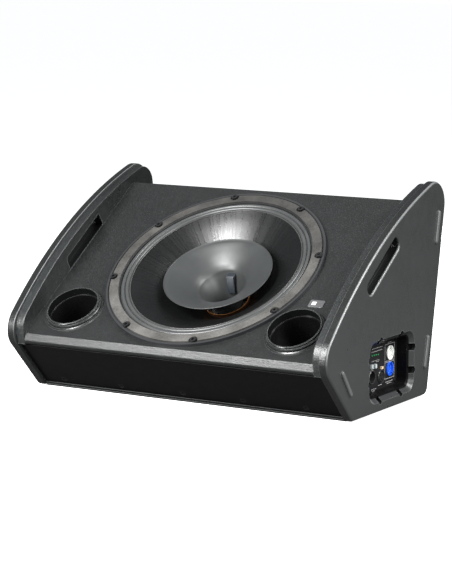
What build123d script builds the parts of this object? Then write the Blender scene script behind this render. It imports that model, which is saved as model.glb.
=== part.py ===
from build123d import *
import os
import math

# ---------------------------------------------------------------------------
# Stage monitor wedge with a 15 inch coaxial driver and a built-in amplifier.
# Millimetres, +Z up, the baffle looks towards -Y and up, X is across the box.
# The cabinet is drawn with y = 0 at the front of its floor line and z = 0 at
# the underside of the cheeks, and is moved at the end so that the origin is
# the middle of the bounding box, at the plane that the feet rest on.
# ---------------------------------------------------------------------------

# cabinet
WIDTH = 618.0            # over the two cheek faces
LAYER = 15.0             # each cheek is two layers of this thickness
X_FACE = WIDTH / 2       # outer face of a cheek
X_MID = X_FACE - LAYER   # joint between the two layers
X_IN = X_MID - LAYER     # inner face of a cheek
BOARD = 18.0             # thickness of the boards
FOOT_H = 2.5             # how far the feet stand below the cheeks

# side profile (y, z)
TIP = (-2.6, 0.0)
NOSE_R_LOW = 34.0
NOSE_Y, NOSE_Z = -92.5, 105.3
BIG_C, BIG_R = (539.0, -459.4), 860.1
NOSE_R_HIGH = ((NOSE_Y - BIG_C[0]) ** 2 + (NOSE_Z - BIG_C[1]) ** 2 - BIG_R ** 2) / (2 * (BIG_C[0] - NOSE_Y - BIG_R))
REAR_Y0, REAR_K = 274.4, 0.181   # rear edge: y = REAR_Y0 + REAR_K z
STEP_IN = 4.5            # inner layer stands back from the outer one
FACE_R = 4.5             # rounding of the outer edge of a cheek
GROOVE_R = 1.2           # rounding of the edges beside the groove between the layers

# baffle plane: origin at the front edge, s up the slope, h out of the board
BAF_Y, BAF_Z = -79.1, 102.8
BAF_ANGLE = math.radians(34.27)
BAF_LEN = 407.9
CS, SN = math.cos(BAF_ANGLE), math.sin(BAF_ANGLE)

# driver
DRV_S = 198.15           # driver centre up the slope
FRAME_R = 194.0
BAFFLE_HOLE_R = 179.0
BOLT_CIRCLE = 370.0
BOLT_N = 8
CONE_R = 151.7
NECK_R = 39.2
NECK_H = -75.0
HORN_A, HORN_B, HORN_H = 98.2, 89.6, -9.5
THROAT_R, THROAT_H = 38.0, -38.0

# ports
PORT_X, PORT_S, PORT_R = 215.2, 66.8, 44.6
PORT_LIP = 10.2
PORT_DEPTH = 65.0

# handle slot in each cheek
SLOT_S0, SLOT_S1, SLOT_H = 162.5, 291.0, 23.5
POCKET_S0, POCKET_S1, POCKET_H = 165.5, 288.5, 24.5   # hand room in the inner layer, down to the baffle

# connector bay in the right cheek
BAY_Y0, BAY_Y1, BAY_Z0, BAY_Z1 = 65.0, 210.0, 26.0, 110.0
BAY_FLARE = 10.0
PANEL_X0, PANEL_X1 = X_IN, X_IN + 2.0

DY = -119.8265           # moves the middle of the depth to y = 0
DZ = FOOT_H

NODES = {}


def add(name, shape):
    NODES[name] = Pos(0, DY, DZ) * shape


def yz(pts, x0, x1):
    """Prism of a (y, z) outline from x0 to x1."""
    f = make_face(Plane.YZ.offset(x0) * Polyline(*pts, close=True))
    return extrude(f, amount=x1 - x0, dir=(1, 0, 0))


def bp(s, h):
    """Point (y, z) of baffle coordinates."""
    return (BAF_Y + s * CS - h * SN, BAF_Z + s * SN + h * CS)


def unit(a):
    n = math.hypot(*a)
    return (a[0] / n, a[1] / n)


BAFFLE = Plane(origin=(0, BAF_Y, BAF_Z), x_dir=(1, 0, 0), z_dir=(0, -SN, CS))
DRIVER = Plane(origin=(0,) + bp(DRV_S, 0), x_dir=(1, 0, 0), z_dir=(0, -SN, CS))


def drv(shape):
    return DRIVER.location * shape


def ring(r0, r1, z0, z1, n=None):
    sk = Circle(r1) - Circle(r0) if r0 > 0 else Circle(r1)
    return Pos(0, 0, z0) * extrude(sk, z1 - z0)


def rev(pts):
    f = make_face(Plane.XZ * Polyline(*pts, close=True))
    return revolve(f, Axis.Z)


def cyl_x(r, x0, x1, y, z):
    return Pos(x0, y, z) * Rot(0, 90, 0) * extrude(Circle(r), x1 - x0)


def box(x0, x1, y0, y1, z0, z1):
    return Pos((x0 + x1) / 2, (y0 + y1) / 2, (z0 + z1) / 2) * Box(x1 - x0, y1 - y0, z1 - z0)


# ---------------------------------------------------------------------------
# cheek outlines
# ---------------------------------------------------------------------------
def circle_rear(cr, y0):
    """Where the big top arc of radius cr meets the rear line."""
    a = REAR_K * REAR_K + 1
    b = 2 * (REAR_K * (y0 - BIG_C[0]) - BIG_C[1])
    c = (y0 - BIG_C[0]) ** 2 + BIG_C[1] ** 2 - cr ** 2
    z = (-b + math.sqrt(b * b - 4 * a * c)) / (2 * a)
    return (y0 + REAR_K * z, z)


def arc_mid(c, r, p, q):
    m = unit(((p[0] + q[0]) / 2 - c[0], (p[1] + q[1]) / 2 - c[1]))
    return (c[0] + r * m[0], c[1] + r * m[1])


def outer_layer(x0, x1):
    cl = (NOSE_Y + NOSE_R_LOW, NOSE_Z)
    d = unit((cl[0] - 0.71 * NOSE_R_LOW - TIP[0], cl[1] - 0.704 * NOSE_R_LOW - TIP[1]))
    t1 = (cl[0] - NOSE_R_LOW * d[1], cl[1] + NOSE_R_LOW * d[0])
    nose = (NOSE_Y, NOSE_Z)
    ch = (NOSE_Y + NOSE_R_HIGH, NOSE_Z)
    u = unit((ch[0] - BIG_C[0], ch[1] - BIG_C[1]))
    t2 = (BIG_C[0] + u[0] * BIG_R, BIG_C[1] + u[1] * BIG_R)
    top = circle_rear(BIG_R, REAR_Y0)
    foot = (REAR_Y0, 0.0)
    e = [
        Line(TIP, t1),
        ThreePointArc(t1, arc_mid(cl, NOSE_R_LOW, t1, nose), nose),
        ThreePointArc(nose, arc_mid(ch, NOSE_R_HIGH, nose, t2), t2),
        ThreePointArc(t2, arc_mid(BIG_C, BIG_R, t2, top), top),
        Line(top, foot),
        Line(foot, TIP),
    ]
    f = make_face([Plane.YZ.offset(x0).location * k for k in e])
    b = extrude(f, amount=x1 - x0, dir=(1, 0, 0))

    def corner(y, z, r, s):
        ed = [k for k in s.edges().filter_by(Axis.X)
              if abs(k.center().Y - y) < 1.0 and abs(k.center().Z - z) < 1.0]
        return fillet(ed, r)
    b = corner(top[0], top[1], 40.0, b)
    b = corner(foot[0], foot[1], 14.0, b)
    b = corner(TIP[0], TIP[1], 9.0, b)
    return b


# panel line: under the nose, set back from the cheek edge
PN = unit((0.710, 0.704))           # inward normal of the sloping front
PD = unit((-0.704, 0.710))          # up along the sloping front
PANEL_SET, PANEL_T = 7.5, 10.5


def pan(t, d):
    """Point on the sloping front: t up from z = 0, d inward."""
    return (TIP[0] + PD[0] * t + PN[0] * d, TIP[1] + PD[1] * t + PN[1] * d)


def pan_z(z, d):
    t = (z - TIP[1] - PN[1] * d) / PD[1]
    return pan(t, d)


PANEL_TOP, PANEL_BOT = 83.0, 5.3
INNER_C_NOSE = (-46.5, 110.0)
INNER_R_NOSE = BIG_R - STEP_IN - math.hypot(INNER_C_NOSE[0] - BIG_C[0], INNER_C_NOSE[1] - BIG_C[1])


def inner_layer(x0, x1):
    r = BIG_R - STEP_IN
    u = unit((INNER_C_NOSE[0] - BIG_C[0], INNER_C_NOSE[1] - BIG_C[1]))
    t2 = (BIG_C[0] + u[0] * r, BIG_C[1] + u[1] * r)
    nose = (INNER_C_NOSE[0] - INNER_R_NOSE, INNER_C_NOSE[1])
    low = (-80.2, PANEL_TOP + 0.3)
    dz, dy = nose[1] - low[1], low[0] - nose[0]
    rho = (dy * dy + dz * dz) / (2 * dy)
    cl = (nose[0] + rho, nose[1])
    y0 = REAR_Y0 - 7.0 * math.hypot(1, REAR_K)
    top = circle_rear(r, y0)
    e = [
        Line(low, nose) if rho > 1e4 else ThreePointArc(low, arc_mid(cl, rho, low, nose), nose),
        ThreePointArc(nose, arc_mid(INNER_C_NOSE, INNER_R_NOSE, nose, t2), t2),
        ThreePointArc(t2, arc_mid(BIG_C, r, t2, top), top),
    ]
    rest = [top, (y0 + REAR_K * 0.5, 0.5), (pan_z(0.5, PANEL_SET + PANEL_T)[0], 0.5),
            pan_z(PANEL_TOP + 0.3, PANEL_SET + PANEL_T), low]
    e += [Line(a, b) for a, b in zip(rest[:-1], rest[1:])]
    f = make_face([Plane.YZ.offset(x0).location * k for k in e])
    b = extrude(f, amount=x1 - x0, dir=(1, 0, 0))
    ed = [k for k in b.edges().filter_by(Axis.X)
          if abs(k.center().Y - top[0]) < 1.0 and abs(k.center().Z - top[1]) < 1.0]
    b = fillet(ed, 34.0)
    for x, r_edge in ((x0, 1.6), (x1, GROOVE_R)):
        ed = [k for k in b.edges() if k.geom_type == GeomType.CIRCLE
              and abs(k.bounding_box().min.X - x) < 1e-3 and abs(k.bounding_box().max.X - x) < 1e-3]
        b = fillet(ed, r_edge)
    return b


SLOT_PLANE = Plane(origin=(0,) + bp((SLOT_S0 + SLOT_S1) / 2, SLOT_H / 2),
                   x_dir=(0, CS, SN), z_dir=(1, 0, 0))


def slot_cut(x0, x1):
    sk = RectangleRounded(SLOT_S1 - SLOT_S0, SLOT_H, 10.5)
    return SLOT_PLANE.offset(x0).location * extrude(sk, x1 - x0)


def pocket_cut(x0, x1):
    """Opening of the inner layer behind the slot: open down to the baffle plane."""
    s0, s1, h = POCKET_S0, POCKET_S1, POCKET_H
    b = yz([bp(s0, 0), bp(s1, 0), bp(s1, h), bp(s0, h)], x0, x1)
    for (s, hh, r) in ((s0, h, 9.0), (s1, h, 2.5), (s0, 0, 2.5)):
        y, z = bp(s, hh)
        b = fillet([k for k in b.edges().filter_by(Axis.X) if abs(k.center().Y - y) < 0.5 and abs(k.center().Z - z) < 0.5], r)
    return b


# wear pads on the cheek faces: centre line ends (y, z)
PADS = [((304.6, 308.5), (295.2, 261.0)), ((270.0, 98.5), (258.5, 51.5)), ((-41.0, 84.5), (-13.0, 47.5))]
PAD_W, PAD_PROUD, PAD_DEEP = 8.5, 4.0, 1.5


def pad_solids(x0, x1, grow=0.0):
    out = []
    for (a, b) in PADS:
        ln = math.hypot(a[0] - b[0], a[1] - b[1]) + PAD_W
        d = unit((b[0] - a[0], b[1] - a[1]))
        pl = Plane(origin=(x0, (a[0] + b[0]) / 2, (a[1] + b[1]) / 2), x_dir=(0, d[0], d[1]), z_dir=(1, 0, 0))
        out.append(pl.location * extrude(SlotOverall(ln + 2 * grow, PAD_W + 2 * grow), x1 - x0))
    return out


def soften(b, x, r):
    """Round the outline edge that lies in the plane X = x."""
    ed = [k for k in b.edges() if abs(k.bounding_box().min.X - x) < 1e-3 and abs(k.bounding_box().max.X - x) < 1e-3]
    return fillet(ed, r)


out_r = soften(soften(outer_layer(X_MID, X_FACE), X_FACE, FACE_R), X_MID, GROOVE_R)
out_r = out_r - slot_cut(X_MID - 1, X_FACE + 1)
ed = [k for k in out_r.edges() if abs(k.bounding_box().min.X - X_FACE) < 1e-3
      and abs(k.bounding_box().max.X - X_FACE) < 1e-3
      and bp(SLOT_S0 - 3, -4)[1] - 8 < k.center().Z < bp(SLOT_S1 + 3, SLOT_H + 3)[1] + 8
      and 50 < k.center().Y < 175 and 190 < k.center().Z < 290]
out_r = fillet(ed, 4.5)
out_l = mirror(out_r, about=Plane.YZ)
in_r = inner_layer(X_IN, X_MID) - pocket_cut(X_IN - 1, X_MID + 1)
in_l = mirror(in_r, about=Plane.YZ)

# connector bay: straight opening, flared at the face, with rounded cable notches
YC, ZC = (BAY_Y0 + BAY_Y1) / 2, (BAY_Z0 + BAY_Z1) / 2


def bay_cut(x0, x1, r=12.0, g=0.0):
    sk = RectangleRounded(BAY_Y1 - BAY_Y0 + 2 * g, BAY_Z1 - BAY_Z0 + 2 * g, r)
    return Plane(origin=(x0, YC, ZC), x_dir=(0, 1, 0), z_dir=(1, 0, 0)).location * extrude(sk, x1 - x0)


out_r = out_r - bay_cut(X_MID - 1, X_FACE + 1)
ed = [k for k in out_r.edges() if abs(k.bounding_box().min.X - X_FACE) < 1e-3
      and abs(k.bounding_box().max.X - X_FACE) < 1e-3
      and BAY_Y0 - 1 < k.center().Y < BAY_Y1 + 1 and BAY_Z0 - 1 < k.center().Z < BAY_Z1 + 1]
out_r = chamfer(ed, BAY_FLARE)
NOTCH_W, NOTCH_D = 12.0, 9.0
NOTCH_SIDE_Z, NOTCH_LONG_Y = (90.0, 51.0), (96.0, 173.0)


def notch(y, z, dy, dz):
    ln = 34.0
    pl = Plane(origin=(X_FACE - NOTCH_D, y, z), x_dir=(0, dy, dz), z_dir=(1, 0, 0))
    return pl.location * extrude(SlotOverall(ln, NOTCH_W), NOTCH_D + 1)


for z in NOTCH_SIDE_Z:
    out_r = out_r - notch(BAY_Y1 - 3, z, 1, 0)
    out_r = out_r - notch(BAY_Y0 + 3, z, 1, 0)
for y in NOTCH_LONG_Y:
    out_r = out_r - notch(y, BAY_Z1 - 3, 0, 1)
    out_r = out_r - notch(y, BAY_Z0 + 3, 0, 1)
in_r = in_r - bay_cut(X_IN - 1, X_MID + 1)
in_r = in_r - box(X_IN - 1, PANEL_X1, BAY_Y0 - 9.1, BAY_Y1 + 9.1, 18.7, BAY_Z1 + 9.1)

for k in pad_solids(X_FACE - PAD_DEEP, X_FACE + 5):
    out_r = out_r - k
for k in pad_solids(-X_FACE - 5, -X_FACE + PAD_DEEP):
    out_l = out_l - k

add("cheek_outer_right", out_r)
add("cheek_outer_left", out_l)
add("cheek_inner_right", in_r)
add("cheek_inner_left", in_l)


def pad_node(x0, x1, face):
    ps = []
    for k in pad_solids(x0, x1):
        ed = [q for q in k.edges() if abs(q.bounding_box().min.X - face) < 1e-3 and abs(q.bounding_box().max.X - face) < 1e-3]
        ps.append(fillet(ed, 2.8))
    return Compound(ps)


add("side_pads_right", pad_node(X_FACE - PAD_DEEP, X_FACE + PAD_PROUD, X_FACE + PAD_PROUD))
add("side_pads_left", pad_node(-X_FACE - PAD_PROUD, -X_FACE + PAD_DEEP, -X_FACE - PAD_PROUD))

# ---------------------------------------------------------------------------
# boards
# ---------------------------------------------------------------------------
T = bp(BAF_LEN, 0)
baffle = yz([bp(0, 0), (-83.3, 84.4), (-70.0, 84.4), bp(0, -BOARD), bp(BAF_LEN, -BOARD), T], -X_IN, X_IN)
ed = [k for k in baffle.edges().filter_by(Axis.X) if abs(k.center().Y - BAF_Y) < 0.5 and abs(k.center().Z - BAF_Z) < 0.5]
baffle = fillet(ed, 2.0)
ed = [k for k in baffle.edges().filter_by(Axis.X) if abs(k.center().Y + 83.3) < 0.5 and abs(k.center().Z - 84.4) < 0.5]
baffle = fillet(ed, 5.5)
ed = [k for k in baffle.edges().filter_by(Axis.X) if abs(k.center().Y - T[0]) < 0.5 and abs(k.center().Z - T[1]) < 0.5]
baffle = fillet(ed, 1.6)
baffle = baffle - drv(ring(0, BAFFLE_HOLE_R, -30, 10))
for sx in (-1, 1):
    baffle = baffle - BAFFLE.location * (Pos(sx * PORT_X, PORT_S, -30) * extrude(Circle(46.5), 40))
BOLTS = [(BOLT_CIRCLE / 2 * math.cos(math.radians(15 + 45 * k)), BOLT_CIRCLE / 2 * math.sin(math.radians(15 + 45 * k)))
         for k in range(BOLT_N)]
for (bx, by) in BOLTS:
    baffle = baffle - drv(Pos(bx, by, -30) * extrude(Circle(3.2), 40))
add("baffle_board", baffle)

rear_y = lambda z, d: REAR_Y0 + REAR_K * z - d * math.hypot(1, REAR_K)
# top rear board: square to the baffle, down to the rear board's outer face
tz = (rear_y(0, 8.0) + REAR_K * T[1] - T[0]) / (SN + REAR_K * CS)
e1 = (T[0] + SN * tz, T[1] - CS * tz)
top_rear = yz([bp(BAF_LEN, -BOARD), e1, (e1[0] - 20 * CS, e1[1] - 20 * SN - 10), bp(BAF_LEN - BOARD, -tz + 4),
               bp(BAF_LEN - BOARD, -BOARD)], -X_IN, X_IN)
top_rear = yz([bp(BAF_LEN, -BOARD), e1, bp(BAF_LEN - BOARD, -tz), bp(BAF_LEN - BOARD, -BOARD)], -X_IN, X_IN)
bottom = yz([(pan_z(0.5, 17.0)[0], 0.5), (rear_y(0.5, 26.0), 0.5), (rear_y(18.5, 26.0), 18.5),
             (pan_z(18.5, PANEL_SET + PANEL_T + 0.05)[0], 18.5), (pan_z(5.2, PANEL_SET + PANEL_T + 0.05)[0], 5.2),
             (pan_z(4.9, 17.0)[0], 4.9)], -X_IN, X_IN)
# stepped rail along its front edge, under the lower panel
RAIL_LOW, RAIL_TOP = -1.9, 4.9
bottom = bottom + yz([pan_z(RAIL_TOP, 7.0), pan_z(2.2, 7.0), pan_z(2.2, 10.0), pan_z(1.2, 10.0), pan_z(1.2, 4.0),
                      pan_z(RAIL_LOW, 4.0), pan_z(RAIL_LOW, 17.9), pan_z(RAIL_TOP, 17.9)], -X_MID + 0.3, X_MID - 0.3)
rear = yz([(rear_y(0.5, 8.0), 0.5), e1, (rear_y(e1[1], 26.0) , e1[1]), (rear_y(0.5, 26.0), 0.5)], -X_IN, X_IN) - top_rear
add("top_rear_board", top_rear)
add("bottom_board", bottom)
add("rear_board", rear)

XP = X_MID - 1.2
panel = yz([pan_z(PANEL_BOT, PANEL_SET), pan_z(PANEL_TOP, PANEL_SET), pan_z(PANEL_TOP, PANEL_SET + PANEL_T),
            pan_z(PANEL_BOT, PANEL_SET + PANEL_T)], -XP, XP)
panel = fillet([k for k in panel.edges().filter_by(Axis.X)
                if abs(k.center().Y - pan_z(PANEL_TOP, PANEL_SET)[0]) < 0.5], 2.0)
SCREW_X = (-250.0, -132.0, -9.0, 108.0, 226.0)
screw_plane = Plane(origin=(0,) + pan(13.0, PANEL_SET), x_dir=(1, 0, 0), z_dir=(0, -PN[0], -PN[1]))
screws = []
for sx in SCREW_X:
    at = screw_plane.location * Pos(sx, 0, 0)
    panel = panel - at * (Pos(0, 0, -14) * extrude(Circle(2.3), 20)) - at * (Pos(0, 0, -2.5) * extrude(Circle(4.6), 6))
    sc = Pos(0, 0, -2.4) * extrude(Circle(4.3), 2.2) + Pos(0, 0, -10.2) * extrude(Circle(2.1), 7.9)
    sc = sc - Pos(0, 0, -1.6) * extrude(RegularPolygon(1.9, 6), 3)
    screws.append(at * sc)
add("lower_front_panel", panel)
add("lower_panel_screws", Compound(screws))

cleat = yz([(-69.0, PANEL_TOP + 0.2), (pan_z(PANEL_TOP + 0.2, 18.2)[0], PANEL_TOP + 0.2), pan_z(77.0, 18.2), (-51.0, 84.0),
            bp(17.5, -BOARD - 0.1), bp(0.5, -BOARD - 0.1)], -X_IN + 0.2, X_IN - 0.2)
add("front_cleat", cleat)
foam = yz([(rear_y(30, 26.2), 30.0), (rear_y(225, 26.2), 225.0), (rear_y(225, 41), 225.0), (rear_y(30, 41), 30.0)], -180.0, 180.0)
add("acoustic_foam", foam)

FEET = [(-240.0, 46.0), (240.0, 46.0), (-240.0, 232.0), (240.0, 232.0)]
feet = []
for (fx, fy) in FEET:
    f = Pos(fx, fy, -FOOT_H) * extrude(Circle(17.0), 3.0)
    f = fillet(f.faces().sort_by(Axis.Z)[0].edges(), 1.0)
    feet.append(f)
add("rubber_feet", Compound(feet))

badge = BAFFLE.location * (Pos(222.0, 136.0, 0.0) * extrude(RectangleRounded(27.0, 17.0, 2.5), 1.6))
badge = fillet([k for k in badge.edges() if k.length > 5 and (BAFFLE.to_local_coords(k.center()).Z > 1.5)], 0.5)
add("badge_plate", badge)

# ---------------------------------------------------------------------------
# ports: collar that stands proud of the baffle, and the tube behind it
# ---------------------------------------------------------------------------
collar_p = [(PORT_R, PORT_LIP), (46.4, PORT_LIP), (47.2, 9.5), (47.4, 7.0), (49.4, 6.6), (50.2, 5.6), (50.4, 2.6),
            (52.4, 1.6), (53.2, 0.0), (46.4, 0.0), (46.4, -5.0), (PORT_R, -5.0)]
tube_p = [(42.8, -5.1), (46.4, -5.1), (46.4, -PORT_DEPTH + 8), (50.0, -PORT_DEPTH), (47.0, -PORT_DEPTH),
          (42.8, -PORT_DEPTH + 8)]
for nm, sx in (("left", -1), ("right", 1)):
    at = BAFFLE.location * Pos(sx * PORT_X, PORT_S, 0)
    add("port_collar_" + nm, at * rev(collar_p))
    add("port_tube_" + nm, at * rev(tube_p))

# ---------------------------------------------------------------------------
# driver: frame, gasket, bolts, moving parts, magnet, horn, high-frequency unit
# ---------------------------------------------------------------------------
frame_p = [(162.5, 0.0), (169.6, 0.0), (169.6, 4.0), (190.4, 4.0), (190.4, 5.8), (194.0, 5.8), (194.0, 0.0),
           (177.5, 0.0), (176.0, -22.0), (105.0, -96.0), (92.0, -106.0), (62.0, -106.0), (62.0, -98.0), (99.0, -98.0),
           (109.5, -85.5), (102.0, -85.5), (102.0, -82.5), (114.7, -82.5), (170.5, -22.0), (168.0, -8.0), (162.5, -4.0)]
frame = rev(frame_p)
for k in range(6):
    frame = frame - Rot(0, 0, 60 * k + 30) * (Pos(150, 0, -49) * Box(90, 74, 36))
for (bx, by) in BOLTS:
    frame = frame - Pos(bx, by, -1) * extrude(Circle(3.3), 8)
add("driver_frame", drv(frame))

gasket = ring(171.3, 187.6, 4.0, 7.0)
for (bx, by) in BOLTS:
    gasket = gasket - Pos(bx, by, 3) * extrude(Circle(8.0), 6)
add("front_gasket", drv(gasket))

bolts = []
for (bx, by) in BOLTS:
    b = Pos(0, 0, 4.0) * extrude(Circle(5.2), 4.6) + Pos(0, 0, -17.5) * extrude(Circle(3.0), 21.5)
    b = b - Pos(0, 0, 5.8) * extrude(RegularPolygon(2.9, 6), 4)
    bolts.append(Pos(bx, by, 0) * b)
add("driver_bolts", drv(Compound(bolts)))

surround_p = [(169.3, 0.1), (169.3, 1.3), (167.6, 1.3), (166.6, 3.6), (164.4, 4.8), (162.2, 3.6), (160.7, 1.9),
              (159.2, 3.6), (157.2, 4.8), (155.0, 3.6), (153.8, 1.7), (151.9, 1.7), (151.9, 0.4), (154.6, 0.4),
              (156.0, 2.6), (157.2, 3.4), (158.4, 2.6), (160.0, 0.5), (161.4, 0.5), (163.2, 2.6), (164.4, 3.4), (165.6, 2.6),
              (166.8, 0.1)]
add("surround", drv(rev(surround_p)))
cone_p = [(CONE_R, 1.6), (120.0, -18.6), (85.0, -42.2), (54.0, -64.6), (42.2, -74.0), (NECK_R, NECK_H), (NECK_R, -79.0),
          (40.4, -79.0), (40.5, -75.8), (42.9, -75.2), (54.6, -66.1), (85.4, -43.9), (120.4, -20.1), (CONE_R, -0.1)]
add("cone", drv(rev(cone_p)))
add("voice_coil_former", drv(ring(38.2, 39.1, -122.0, -69.0)))
add("voice_coil", drv(ring(39.2, 40.8, -121.0, -103.0)))
spider_p = []
zs = [(-81.2 + (0.9 if k % 2 else -0.9)) for k in range(13)]
rr = [39.3 + (110.0 - 39.3) * k / 12 for k in range(13)]
spider_p = [(r, z + 0.35) for r, z in zip(rr, zs)] + [(r, z - 0.35) for r, z in zip(rr[::-1], zs[::-1])]
add("spider", drv(rev(spider_p)))

add("top_plate", drv(ring(41.6, 88.0, -118.0, -106.0)))
add("magnet_ring", drv(ring(46.0, 90.0, -143.0, -118.0)))
add("pole_piece", drv(ring(24.5, 37.4, -143.0, -104.0) + ring(24.5, 88.0, -155.0, -143.0)))


def ellipse_solid(secs):
    faces = [Pos(0, 0, h) * Ellipse(a, b) for (h, a, b) in secs]
    return loft(faces)


horn_out = ellipse_solid([(-42.0, 41.0, 41.0), (-33.5, 51.5, 50.5), (-25.5, 66.0, 62.5), (-19.0, 81.0, 75.0),
                          (-13.6, 92.5, 85.0), (HORN_H, HORN_A, HORN_B)])
horn_in = ellipse_solid([(THROAT_H, THROAT_R, THROAT_R), (-29.5, 50.0, 49.0), (-21.8, 65.0, 61.5), (-15.8, 80.0, 74.0),
                         (-11.8, 90.0, 82.6), (HORN_H, HORN_A - 1.0, HORN_B - 1.0)])
low_out = rev([(0, -42.0), (41.0, -42.0), (29.0, -64.0), (21.0, -92.0), (21.0, -99.5), (35.5, -99.5), (35.5, -103.9),
               (21.0, -103.9), (21.0, -150.0), (0, -150.0)])
low_in = rev([(0, THROAT_H), (THROAT_R, THROAT_H), (26.0, -64.0), (18.0, -92.0), (18.0, -151.0), (0, -151.0)])
horn = (horn_out + low_out) - horn_in - low_in
add("horn", drv(horn))

add("hf_driver_body", drv(ring(26.0, 50.0, -171.0, -155.0)))
dome_p = [(0.01, -157.0), (10.0, -157.9), (18.0, -160.4), (22.0, -163.2), (25.2, -163.2), (25.2, -163.6), (21.8, -163.6),
          (17.8, -161.0), (10.0, -158.5), (0.01, -157.6)]
dome_p[0] = (0.0, -157.0)
dome_p[-1] = (0.0, -157.6)
add("hf_diaphragm", drv(rev(dome_p)))
cap = ring(0, 50.0, -186.0, -171.0) - ring(0, 44.0, -182.5, -170.0)
cap = fillet(cap.faces().sort_by(Axis.Z)[0].edges(), 3.0)
add("hf_rear_cap", drv(cap))

term = Rot(0, 0, -20) * (Pos(96.5, 0, -113.5) * Box(12, 26, 12))
add("driver_terminal", drv(term))

# ---------------------------------------------------------------------------
# connector panel and amplifier
# ---------------------------------------------------------------------------
PX = PANEL_X1            # front of the panel
OUTLET = (184.4, 82.7)
INLET = (184.3, 55.5)
XLR_IN = (152.0, 47.0)
XLR_LINK = (118.0, 51.0)
BUTTONS = ((116.3, 68.9), (129.0, 68.2))
LATCH = (152.6, 61.8)
LEDS = [(118.6 + 7.3 * k, 87.0 - 0.3 * k) for k in range(4)]

plate = box(PANEL_X0, PX, BAY_Y0 - 9.0, BAY_Y1 + 9.0, 18.8, BAY_Z1 + 9.0)
for c in (OUTLET, INLET):
    plate = plate - cyl_x(12.1, PANEL_X0 - 1, PX + 1, *c)
for c in (XLR_IN, XLR_LINK):
    plate = plate - cyl_x(11.6, PANEL_X0 - 1, PX + 1, *c)
for c in BUTTONS:
    plate = plate - box(PANEL_X0 - 1, PX + 1, c[0] - 2.9, c[0] + 2.9, c[1] - 3.9, c[1] + 3.9)
plate = plate - box(PANEL_X0 - 1, PX + 1, LATCH[0] - 3.4, LATCH[0] + 3.4, LATCH[1] - 2.6, LATCH[1] + 2.6)
for c in LEDS:
    plate = plate - cyl_x(1.35, PANEL_X0 - 1, PX + 1, *c)
P_SCREWS = [(BAY_Y0 + 6.5, BAY_Z0 + 6.5), (BAY_Y1 - 6.5, BAY_Z0 + 6.5), (BAY_Y0 + 6.5, BAY_Z1 - 6.5), (BAY_Y1 - 6.5, BAY_Z1 - 6.5)]
for c in P_SCREWS:
    plate = plate - cyl_x(1.7, PANEL_X0 - 1, PX + 1, *c)
add("connector_panel", plate)
ps = []
for c in P_SCREWS:
    s = cyl_x(3.0, PX, PX + 1.8, *c) + cyl_x(1.5, PX - 8, PX, *c)
    s = s - cyl_x(1.1, PX + 0.9, PX + 3, *c)
    ps.append(s)
add("panel_screws", Compound(ps))


def power_socket(c, key_deg):
    b = cyl_x(12.0, PX - 30.0, PX + 1.6, *c)
    b = b - cyl_x(9.6, PX - 20.0, PX + 3, *c)
    b = b + cyl_x(4.6, PX - 21.0, PX - 7.5, *c)
    b = b - cyl_x(1.4, PX - 15.0, PX - 7.0, *c)
    for a in (key_deg, key_deg + 120, key_deg + 230):
        d = (math.cos(math.radians(a)), math.sin(math.radians(a)))
        b = b - cyl_x(1.7, PX - 8.0, PX + 3, c[0] + 9.6 * d[0], c[1] + 9.6 * d[1])
    return b


add("power_outlet", power_socket(OUTLET, 90))
add("power_inlet", power_socket(INLET, 70))

# female input: round insert with three contact holes inside a shell
b = cyl_x(11.5, PX - 26.0, PX + 1.4, *XLR_IN) - (cyl_x(9.8, PX - 14.0, PX + 3, *XLR_IN) - cyl_x(8.3, PX - 15.0, PX + 4, *XLR_IN))
for a in (30, 150, 270):
    b = b - cyl_x(1.35, PX - 12.0, PX + 3, XLR_IN[0] + 4.2 * math.cos(math.radians(a)), XLR_IN[1] + 4.2 * math.sin(math.radians(a)))
add("xlr_input", b)
# male link: open shell with three pins
b = cyl_x(11.5, PX - 26.0, PX + 1.4, *XLR_LINK) - cyl_x(9.7, PX - 14.0, PX + 3, *XLR_LINK)
for a in (90, 210, 330):
    b = b + cyl_x(1.2, PX - 15.0, PX - 5.5, XLR_LINK[0] + 4.2 * math.cos(math.radians(a)), XLR_LINK[1] + 4.2 * math.sin(math.radians(a)))
add("xlr_link", b)

LATCH_TRAVEL, BUTTON_TRAVEL = 1.5, 1.2
lt = box(PX - 9.0, PX + 3.2, LATCH[0] - 3.1, LATCH[0] + 3.1, LATCH[1] - 2.3, LATCH[1] + 2.3)
lt = fillet([k for k in lt.edges() if abs(k.bounding_box().min.X - (PX + 3.2)) < 1e-3 and abs(k.bounding_box().max.X - (PX + 3.2)) < 1e-3], 0.9)
add("xlr_latch", lt)
for nm, c in zip(("push_button_a", "push_button_b"), BUTTONS):
    bt = box(PX - 7.0, PX + 3.4, c[0] - 2.6, c[0] + 2.6, c[1] - 3.6, c[1] + 3.6)
    bt = fillet([k for k in bt.edges() if abs(k.bounding_box().min.X - (PX + 3.4)) < 1e-3 and abs(k.bounding_box().max.X - (PX + 3.4)) < 1e-3], 0.8)
    add(nm, bt)
leds = []
for c in LEDS:
    d = cyl_x(1.25, PX - 5.0, PX + 0.9, *c)
    d = fillet([k for k in d.edges() if k.bounding_box().min.X > PX + 0.8], 0.7)
    leds.append(d)
add("status_leds", Compound(leds))

# switch board that the buttons, latch and lights sit on
swb = box(PX - 18.0, PX - 16.4, 112.0, 160.0, 62.5, 94.0)
add("control_board", swb)

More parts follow.
